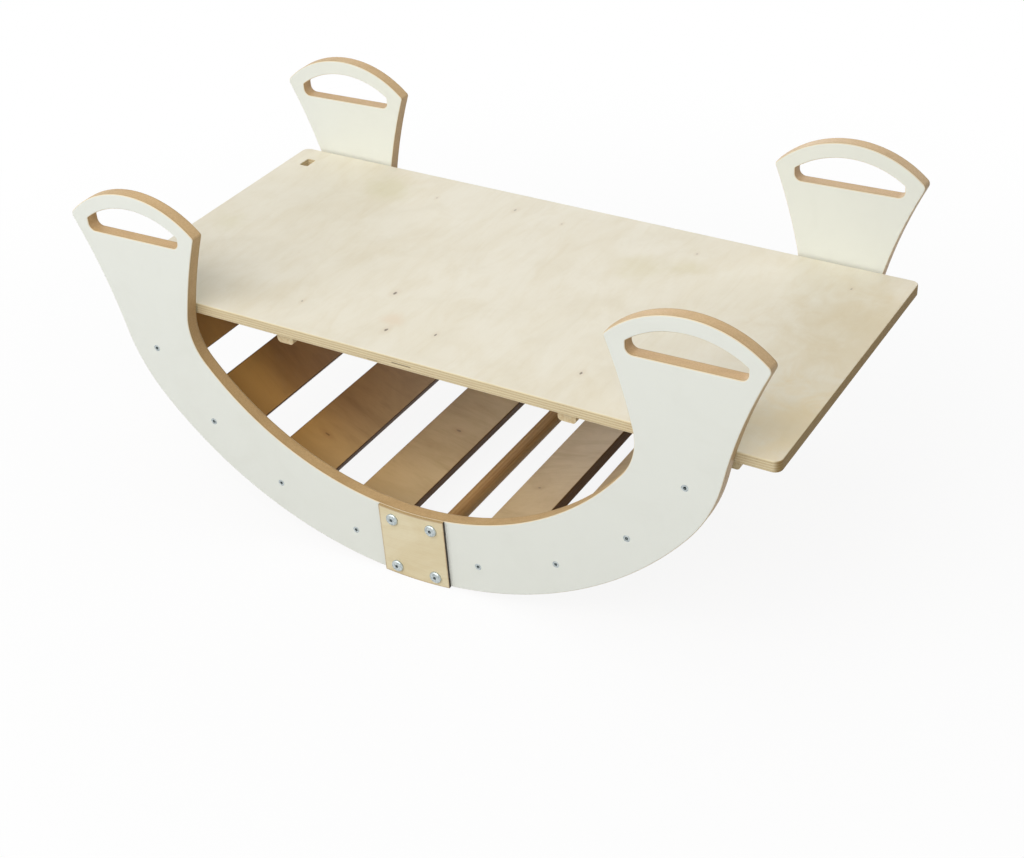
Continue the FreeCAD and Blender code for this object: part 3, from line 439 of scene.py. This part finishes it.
def birch_board():
    """Board: birch veneer with its grain across the board, layered edges, ends darker partly as end grain
    and partly as painted shade.
    """
    finish, tree, shader, place = new_finish("Birch plywood board")
    local = board_place(tree, place)
    x, y, z = split(tree, local)
    grain = vector(tree, y, x, calc(tree, "MULTIPLY", z, FACES_APART))
    veneer = use(tree, VENEER, {
        "Place": grain,
        "Seed": 3.7,
        "Figure": 0.60,
        "Pale": tint(237, 231, 213),
        "Deep": tint(222, 210, 180),
    })
    marks = use(tree, HANDLING, {"Place": local})
    upper = calc(tree, "GREATER_THAN", z, BOARD_THICKNESS / 2)

    tone = stained_and_shaded(tree, veneer["Colour"], local)
    cores = 0.0
    for along, across, size, dark in BOARD_KNOTS:
        centre = (across * MILLIMETRE, along * MILLIMETRE, 0.0)
        knot = use(tree, PIN_KNOT, {"Place": grain, "Centre": centre, "Reach": size * MILLIMETRE})
        halo = calc(tree, "MULTIPLY", knot["Stain"], calc(tree, "MULTIPLY", upper, 0.14))
        tone = blend(tree, halo, tone, tint(190, 156, 110))
        cores = calc(tree, "MAXIMUM", cores, calc(tree, "MULTIPLY", knot["Core"], dark))
    cores = calc(tree, "MULTIPLY", cores, upper)
    tone = blend(tree, cores, tone, tint(84, 60, 40))
    tone = blend(tree, calc(tree, "MULTIPLY", marks["Smudge"], 0.16), tone, tint(206, 194, 164))

    depth = calc(tree, "MINIMUM", z, calc(tree, "SUBTRACT", BOARD_THICKNESS, z))
    edge = ramp(tree, depth, *VENEER_SKIN)
    ply = use(tree, PLY_EDGE, {
        "Place": local,
        "Through": z,
        "Ply": BOARD_THICKNESS / PLY_COUNT,
        "Long": tint(232, 218, 181),
        "Cross": tint(220, 199, 156),
    })
    # Darker board ends: partly end grain, partly painted shade.
    sawn_end_and_shade = calc(tree, "ABSOLUTE", x)
    sawn_end_and_shade = ramp(tree, sawn_end_and_shade, BOARD_HALF - 9 * MILLIMETRE, BOARD_HALF - 2 * MILLIMETRE)
    cut = blend(tree, sawn_end_and_shade, ply["Colour"], tint(188, 170, 134), "MULTIPLY")
    cut = opened(tree, cut, x, y, z)

    tone = blend(tree, edge, tone, cut)
    rough = calc(tree, "MULTIPLY_ADD", marks["Rub"], 0.10, 0.50)
    rough = calc(tree, "MULTIPLY_ADD", edge, 0.15, rough)
    height = between(tree, edge, calc(tree, "SUBTRACT", veneer["Fibre"], cores), ply["Relief"])
    lay_on(tree, shader, tone, rough, height, depth=0.10 * MILLIMETRE)
    return finish


# Small knots of the slats' upper veneer: along the rocker, across it, size in mm.
SLAT_KNOTS = [
    (-86, 3, 2.4),
    (-205, -132, 2.0),
    (81, -68, 1.4),
    (196, 120, 2.0),
    (-92, 150, 1.6),
    (-308, 40, 2.2),
]


def birch_slat():
    """Slats: lacquered birch plywood with the grain across the slat.

    Each slat comes from another spot of the sheet. The slats are browner and darker towards
    the left of the rocker, as painted shade under the board, and golden at the ends of the
    left ones as painted light; their edges carry no lacquer and are dark, partly as painted shade.
    """
    finish, tree, shader, place = new_finish("Birch plywood slat")
    shader.inputs["Specular IOR Level"].default_value = 0.12
    shader.inputs["Coat Roughness"].default_value = 0.34
    slat = use(tree, SLAT_ARC, {"Place": place})
    depth = slat["Depth"]
    x, y = split(tree, place)[:2]
    grain = vector(tree, slat["Across"], y, calc(tree, "MULTIPLY", depth, FACES_APART))
    # Browner, darker slats towards the left: painted shade under the board.
    painted_left_shade = ramp(tree, x, -0.02, -0.28)
    veneer = use(tree, VENEER, {
        "Place": grain,
        "Seed": calc(tree, "MULTIPLY", slat["Number"], 2.3),
        "Figure": 1.0,
        "Pale": blend(tree, painted_left_shade, tint(208, 181, 137), tint(164, 118, 62)),
        "Deep": blend(tree, painted_left_shade, tint(178, 147, 100), tint(130, 87, 41)),
    })
    marks = use(tree, HANDLING, {"Place": grain})

    # Golden ends of the left slats: painted light falling in from the front.
    ends = ramp(tree, calc(tree, "ABSOLUTE", y), 0.07, 0.16)
    painted_end_light = calc(tree, "MULTIPLY", ends, ramp(tree, x, 0.0, -0.16, 0.0, 0.55))
    painted_gold_light = blend(tree, painted_left_shade, tint(230, 200, 146), tint(224, 172, 92))
    tone = blend(tree, painted_end_light, veneer["Colour"], painted_gold_light)
    tone = blend(tree, calc(tree, "MULTIPLY", marks["Smudge"], 0.18), tone, tint(176, 142, 96))
    upper = calc(tree, "LESS_THAN", depth, 0.0)
    for along, across, size in SLAT_KNOTS:
        centre = (along * MILLIMETRE, across * MILLIMETRE, 0.0)
        knot = use(tree, PIN_KNOT, {"Place": place, "Centre": centre, "Reach": size * MILLIMETRE})
        halo = calc(tree, "MULTIPLY", knot["Stain"], calc(tree, "MULTIPLY", upper, 0.22))
        core = calc(tree, "MULTIPLY", knot["Core"], calc(tree, "MULTIPLY", upper, 0.60))
        tone = blend(tree, halo, tone, tint(150, 96, 50))
        tone = blend(tree, core, tone, tint(84, 54, 30))

    skin = calc(tree, "SUBTRACT", SLAT_THICKNESS / 2, calc(tree, "ABSOLUTE", depth))
    edge = ramp(tree, skin, *VENEER_SKIN)
    # Dark brown edges: the bare ply edge, partly painted shade.
    ply = use(tree, PLY_EDGE, {
        "Place": grain,
        "Through": calc(tree, "ADD", depth, SLAT_THICKNESS / 2),
        "Ply": SLAT_THICKNESS / PLY_COUNT,
        "Long": tint(98, 64, 28),
        "Cross": tint(78, 50, 20),
    })
    lacquer = 0.7
    feed(tree, shader.inputs["Coat Weight"], calc(tree, "MULTIPLY_ADD", edge, -lacquer, lacquer))
    tone = blend(tree, edge, tone, ply["Colour"])
    rough = calc(tree, "MULTIPLY_ADD", marks["Rub"], 0.10, 0.52)
    height = between(tree, edge, veneer["Fibre"], ply["Relief"])
    lay_on(tree, shader, tone, rough, height, depth=0.10 * MILLIMETRE)
    return finish


def cut_plate():
    """Connector plates: bare birch face, edges darkened by the cut."""
    finish, tree, shader, place = new_finish("Thin birch plate")
    x, y, z = split(tree, place)
    veneer = use(tree, VENEER, {
        "Place": vector(tree, x, z, calc(tree, "MULTIPLY", y, PLATES_APART)),
        "Seed": 8.1,
        "Figure": 0.9,
        "Pale": tint(238, 226, 192),
        "Deep": tint(216, 194, 146),
    })
    soot = mottle(tree, place, (160.0, 160.0, 160.0), detail=3.0, roughness=0.6)

    sides = calc(tree, "SUBTRACT", PLATE_HALF, calc(tree, "ABSOLUTE", x))
    low = slant(tree, calc(tree, "SUBTRACT", z, ROCKER_RADIUS), x)
    high = slant(tree, calc(tree, "SUBTRACT", z, ARC_HEIGHT), x)
    below = calc(tree, "SUBTRACT", ROCKER_RADIUS, low)
    above = calc(tree, "SUBTRACT", high, SEAT_RADIUS)
    rim = calc(tree, "MINIMUM", sides, calc(tree, "MINIMUM", below, above))
    rim = calc(tree, "MULTIPLY_ADD", calc(tree, "SUBTRACT", soot, 0.5), 2.0 * MILLIMETRE, rim)
    scorched = ramp(tree, rim, 0.0, 2.2 * MILLIMETRE, 0.50, 0.0)
    face = blend(tree, scorched, veneer["Colour"], tint(150, 104, 56))

    char = blend(tree, soot, tint(26, 20, 15), tint(64, 46, 30))
    brown = blend(tree, soot, tint(206, 180, 132), tint(176, 144, 96))
    arcs = ramp(tree, sides, 0.2 * MILLIMETRE, 0.6 * MILLIMETRE)
    cut = blend(tree, arcs, char, brown)
    skin = calc(tree, "SUBTRACT", PLATE_FACE, calc(tree, "ABSOLUTE", y))
    edge = ramp(tree, skin, *THIN_SKIN)
    tone = blend(tree, edge, face, cut)
    rough = calc(tree, "MULTIPLY_ADD", veneer["Fibre"], 0.12, 0.50)
    lay_on(tree, shader, tone, rough, veneer["Fibre"], depth=0.08 * MILLIMETRE)
    return finish


def planed_batten():
    """Battens under the board: planed solid wood, grain along the batten."""
    finish, tree, shader, place = new_finish("Planed batten")
    x, y, z = split(tree, board_place(tree, place))
    steps_per_metre = 5.0
    number = calc(tree, "FLOOR", calc(tree, "MULTIPLY", x, steps_per_metre))
    timber = use(tree, TIMBER, {
        "Place": vector(tree, y, x, z),
        "Seed": calc(tree, "MULTIPLY", number, 1.7),
        "Pale": tint(238, 221, 182),
        "Deep": tint(214, 185, 134),
    })
    rough = calc(tree, "MULTIPLY_ADD", timber["Fibre"], 0.10, 0.50)
    lay_on(tree, shader, timber["Colour"], rough, timber["Fibre"], depth=0.12 * MILLIMETRE)
    return finish


def turned_dowel():
    """Dowel and pins: turned solid wood, grain along their axis."""
    finish, tree, shader, place = new_finish("Turned dowel")
    shader.inputs["Specular IOR Level"].default_value = 0.3
    x, y, z = split(tree, place)
    timber = use(tree, TIMBER, {
        "Place": vector(tree, y, x, z),
        "Seed": 5.3,
        "Pale": tint(189, 151, 98),
        "Deep": tint(150, 106, 57),
    })
    rough = calc(tree, "MULTIPLY_ADD", timber["Fibre"], 0.08, 0.48)
    lay_on(tree, shader, timber["Colour"], rough, timber["Fibre"], depth=0.10 * MILLIMETRE)
    return finish


def from_bolt(tree, place):
    """Distance from the nearest connector bolt's axis."""
    axes = split(tree, place)
    aside = calc(tree, "SUBTRACT", calc(tree, "ABSOLUTE", axes["X"]), BOLT_ASIDE)
    rise = calc(tree, "SUBTRACT", apart(tree, axes["Z"], BOLT_LEVEL), BOLT_RISE)
    return slant(tree, aside, rise)


def from_slat_screw(tree, place):
    """Distance from the nearest slat screw's axis."""
    slat = use(tree, SLAT_ARC, {"Place": place})
    return slant(tree, slat["Across"], slat["Depth"])


def zinc_plate(name, from_axis=None):
    """Zinc-plated steel, with painted shade in the sockets where the axis is known."""
    finish, tree, shader, place = new_finish(name)
    shader.inputs["Metallic"].default_value = 0.9
    plating = use(tree, ZINC, {"Place": place})
    tone = plating["Colour"]
    rough = plating["Roughness"]
    if from_axis:
        # Dark sockets: painted shade in the hex recess.
        painted_socket_shade = ramp(tree, from_axis(tree, place), 1.5 * MILLIMETRE, 2.3 * MILLIMETRE, 1.0, 0.0)
        tone = blend(tree, painted_socket_shade, tone, tint(34, 36, 38))
        rough = calc(tree, "MULTIPLY_ADD", painted_socket_shade, 0.35, rough)
    lay_on(tree, shader, tone, rough, plating["Spots"], depth=0.04 * MILLIMETRE)
    return finish


def dress(finish, names):
    for name in names:
        nodes[name].data.materials[0] = finish


def numbered(name, count):
    return [f"{name}_{number}" for number in range(1, count + 1)]


def both_sides(name):
    return [f"{name}_front", f"{name}_back"]


panels = [f"{panel}_{half}" for panel in both_sides("panel") for half in ("left", "right")]
dress(white_film(), panels)
dress(birch_board(), ["board"])
dress(birch_slat(), numbered("slat", SLAT_COUNT))
dress(cut_plate(), both_sides("connector_plate"))
dress(planed_batten(), numbered("batten", BATTEN_COUNT))
dress(turned_dowel(), ["centre_dowel"] + both_sides("slat_pins"))
dress(zinc_plate("Zinc connector bolts", from_bolt), both_sides("connector_bolts"))
dress(zinc_plate("Zinc slat screws", from_slat_screw), both_sides("slat_screws"))
dress(zinc_plate("Zinc nuts"), both_sides("connector_nuts") + ["batten_screws"])


# Studio: floor paper as it is seen and as it lights the part, strength of the room's own
# light, and the spot that the softboxes face.
WHITE = (1.0, 1.0, 1.0, 1.0)
PAPER = (0.90, 0.90, 0.90, 1.0)
DIM_PAPER = (0.56, 0.56, 0.56, 1.0)
FLOOR_SIZE = 30.0
STUDIO_FILL = 0.20
LAMP_AIM = Vector((0.0, 0.0, 0.25))

# Camera at the photo's angle: focal length and sensor width in mm, place, turn in degrees.
PHOTO_LENS = 62.755
PHOTO_SENSOR = 36.0
PHOTO_PLACE = (1.08359, -1.68750, 1.37981)
PHOTO_TURN = (57.00981, 3.80124, 30.19496)
PHOTO_REACH = 60.0


def seen_white(tree):
    """One where a ray shows the studio, straight or mirrored, and zero where it lights the part."""
    rays = add(tree, "ShaderNodeLightPath").outputs
    mirrored = calc(tree, "MAXIMUM", rays["Is Glossy Ray"], rays["Is Transmission Ray"])
    return calc(tree, "MAXIMUM", rays["Is Camera Ray"], mirrored)


def lay_floor():
    """Pale paper that keeps the soft shadow under the part and fades to white further out."""
    bpy.ops.mesh.primitive_plane_add(size=FLOOR_SIZE)
    floor = bpy.context.object
    floor.name = "studio_floor"
    finish, tree, shader, place = new_finish("Pale studio floor")
    tree.nodes.remove(shader)
    paper = add(tree, "ShaderNodeBsdfDiffuse", {"Color": PAPER}).outputs[0]
    glow = add(tree, "ShaderNodeEmission", {"Color": WHITE, "Strength": 1.0}).outputs[0]
    bright = ramp(tree, far(tree, "LENGTH", place), 0.5, 1.5, 0.90, 1.0)
    shown = add(tree, "ShaderNodeMixShader", {0: bright, 1: paper, 2: glow}).outputs[0]
    dim = add(tree, "ShaderNodeBsdfDiffuse", {"Color": DIM_PAPER}).outputs[0]
    mixed = add(tree, "ShaderNodeMixShader", {0: seen_white(tree), 1: dim, 2: shown}).outputs[0]
    feed(tree, tree.nodes["Material Output"].inputs["Surface"], mixed)
    floor.data.materials.append(finish)


def hang_lamp(name, place, power, width, height):
    lamp = bpy.data.lights.new(name, "AREA")
    lamp.shape = "RECTANGLE"
    lamp.energy = power
    lamp.size = width
    lamp.size_y = height
    hung = bpy.data.objects.new(name, lamp)
    hung.location = place
    hung.rotation_euler = (LAMP_AIM - Vector(place)).to_track_quat("-Z", "Y").to_euler()
    hung.visible_camera = False
    bpy.context.scene.collection.objects.link(hung)


def light_studio():
    """A white room that is seen at full strength and lights the part faintly, and three softboxes."""
    world = bpy.data.worlds.new("Studio")
    world.use_nodes = True
    tree = world.node_tree
    backdrop = tree.nodes["Background"]
    backdrop.inputs["Color"].default_value = WHITE
    strength = calc(tree, "MULTIPLY_ADD", seen_white(tree), 1.0 - STUDIO_FILL, STUDIO_FILL)
    feed(tree, backdrop.inputs["Strength"], strength)
    bpy.context.scene.world = world
    hang_lamp("top_softbox", (-0.3, 0.2, 3.3), power=21.5, width=3.4, height=2.6)
    hang_lamp("front_softbox", (-0.4, -2.45, 2.5), power=106.0, width=5.0, height=2.4)
    hang_lamp("back_softbox", (-0.2, 2.9, 1.0), power=35.0, width=4.0, height=1.6)


def set_camera():
    lens = bpy.data.cameras.new("photo_view")
    lens.sensor_fit = "HORIZONTAL"
    lens.sensor_width = PHOTO_SENSOR
    lens.lens = PHOTO_LENS
    lens.clip_end = PHOTO_REACH
    camera = bpy.data.objects.new("photo_view", lens)
    camera.location = PHOTO_PLACE
    camera.rotation_euler = [math.radians(turn) for turn in PHOTO_TURN]
    bpy.context.scene.collection.objects.link(camera)
    bpy.context.scene.camera = camera


lay_floor()
light_studio()
set_camera()
bpy.context.scene.view_settings.view_transform = "Standard"
